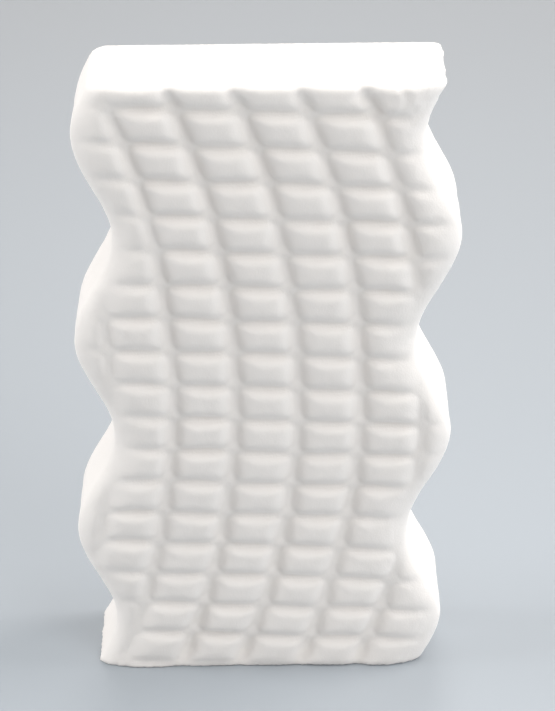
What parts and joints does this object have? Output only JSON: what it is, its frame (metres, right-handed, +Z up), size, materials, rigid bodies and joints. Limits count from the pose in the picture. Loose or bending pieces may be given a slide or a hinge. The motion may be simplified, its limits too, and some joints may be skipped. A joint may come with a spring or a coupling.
{
  "type": "cleaning sponge",
  "caption": "White foam cleaning block with matching wavy long sides and bowed columns of pressed pads on its front face.",
  "frame": {"origin": "middle of the bottom end, the end that the sponge stands on", "axes": "+Z up along the height, +X across the width to the viewer's right, +Y through the thickness from the pressed front face to the plain back"},
  "size_m": [0.07, 0.02, 0.12],
  "materials": {
    "foam": "matte, very fine open-cell foam"
  },
  "bodies": {
    "root": {"sponge": "foam"}
  },
  "joints": []
}
